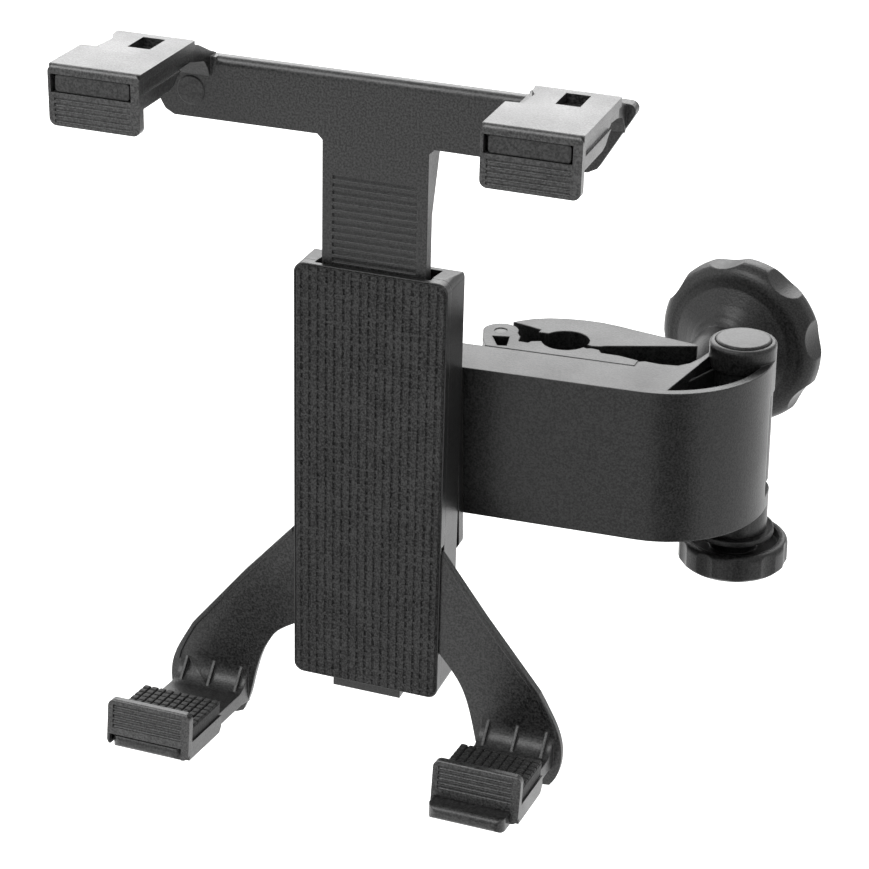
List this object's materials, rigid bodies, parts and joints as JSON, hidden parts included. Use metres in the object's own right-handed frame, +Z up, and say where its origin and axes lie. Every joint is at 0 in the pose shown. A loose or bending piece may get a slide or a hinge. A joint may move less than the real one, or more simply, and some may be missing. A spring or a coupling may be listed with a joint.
{
  "type": "headrest tablet holder",
  "caption": "Headrest tablet holder: a gripping head with sliding jaws on a swivelling, folding arm with a screw clamp for a headrest post.",
  "frame": {"origin": "on the axis of the headrest post that the clamp holds, half way up the arm", "axes": "+Z up along the post, -Y towards the tablet and its viewer, +X towards the arm's hinge"},
  "size_m": [0.1771, 0.1794, 0.2195],
  "materials": {
    "arm_plastic": "fine textured black ABS",
    "shell_plastic": "fine textured black ABS",
    "bracket_plastic": "satin black ABS",
    "jaw_plastic": "satin black ABS",
    "knob_plastic": "satin black nylon",
    "cap_plastic": "smooth black plastic",
    "pad_rubber": "moulded soft black rubber",
    "washer_rubber": "plain rubber",
    "plated_steel": "zinc plated",
    "spring_steel": "bright spring steel"
  },
  "bodies": {
    "clamp": {"clamp_body": "arm_plastic", "jaw_pin": "plated_steel", "clamp_nut": "plated_steel"},
    "jaw": {"moving_jaw": "arm_plastic"},
    "clamp_screw": {"clamp_knob": "knob_plastic", "clamp_bolt": "plated_steel"},
    "arm": {"arm": "arm_plastic", "head_plate": "shell_plastic", "plate_screws": "plated_steel", "hinge_bolt": "plated_steel", "bolt_cap": "cap_plastic", "friction_washer": "washer_rubber", "pressure_washer": "knob_plastic", "swivel_screw": "plated_steel", "swivel_washer": "plated_steel"},
    "hinge_knob": {"hinge_knob": "knob_plastic"},
    "head": {"rear_shell": "shell_plastic", "front_shell": "shell_plastic", "face_pad": "pad_rubber", "leg_frame": "bracket_plastic", "shell_screws": "plated_steel", "button_spring": "spring_steel"},
    "bracket": {"upper_bracket": "bracket_plastic"},
    "release": {"release_button": "shell_plastic"},
    "upper_left": {"upper_left_jaw": "jaw_plastic", "upper_left_pad": "pad_rubber"},
    "upper_right": {"upper_right_jaw": "jaw_plastic", "upper_right_pad": "pad_rubber"},
    "lower_left": {"lower_left_jaw": "jaw_plastic", "lower_left_pad": "pad_rubber"},
    "lower_right": {"lower_right_jaw": "jaw_plastic", "lower_right_pad": "pad_rubber"}
  },
  "joints": [
    {"name": "jaw_hinge", "type": "hinge", "parent": "clamp", "child": "jaw", "pos_m": [-0.0201, 0.0011, 0], "axis": [0, 0, 1], "range_deg": [-2, 12]},
    {"name": "clamp_knob_spin", "type": "hinge", "parent": "jaw", "child": "clamp_screw", "pos_m": [0.0198, 0.008, -0.0008], "axis": [0.2453, 0.9694, 0], "range_deg": [-450, 3000]},
    {"name": "arm_hinge", "type": "hinge", "parent": "clamp", "child": "arm", "pos_m": [0.0508, 0.0065, 0], "axis": [0, 0, 1], "range_deg": [0, 160]},
    {"name": "hinge_knob_spin", "type": "hinge", "parent": "arm", "child": "hinge_knob", "pos_m": [0.0508, 0.0065, -0.038], "axis": [0, 0, 1], "continuous": true},
    {"name": "head_swivel", "type": "hinge", "parent": "arm", "child": "head", "pos_m": [-0.0432, -0.035, -0.005], "axis": [0, 1, 0], "continuous": true},
    {"name": "bracket_slide", "type": "slide", "parent": "head", "child": "bracket", "axis": [0.0314, 0, 0.9995], "range_m": [-0.027, 0.012]},
    {"name": "release_slide", "type": "slide", "parent": "head", "child": "release", "axis": [0.0314, 0, 0.9995], "range_m": [0, 0.0022], "stiffness_N_per_m": 700, "springref_m": -0.003, "deforming": ["button_spring"]},
    {"name": "upper_left_slide", "type": "slide", "parent": "bracket", "child": "upper_left", "axis": [0, 1, 0], "range_m": [0, 0.008]},
    {"name": "upper_right_slide", "type": "slide", "parent": "bracket", "child": "upper_right", "axis": [0, 1, 0], "range_m": [0, 0.008]},
    {"name": "lower_left_slide", "type": "slide", "parent": "head", "child": "lower_left", "axis": [-0.0044, 0.9903, -0.1391], "range_m": [0, 0.007]},
    {"name": "lower_right_slide", "type": "slide", "parent": "head", "child": "lower_right", "axis": [-0.0044, 0.9903, -0.1391], "range_m": [-0.0065, 0.0005]}
  ],
  "couplings": [
    {"joint": "jaw_hinge", "follows": "clamp_knob_spin", "ratio": 0.0039298}
  ]
}
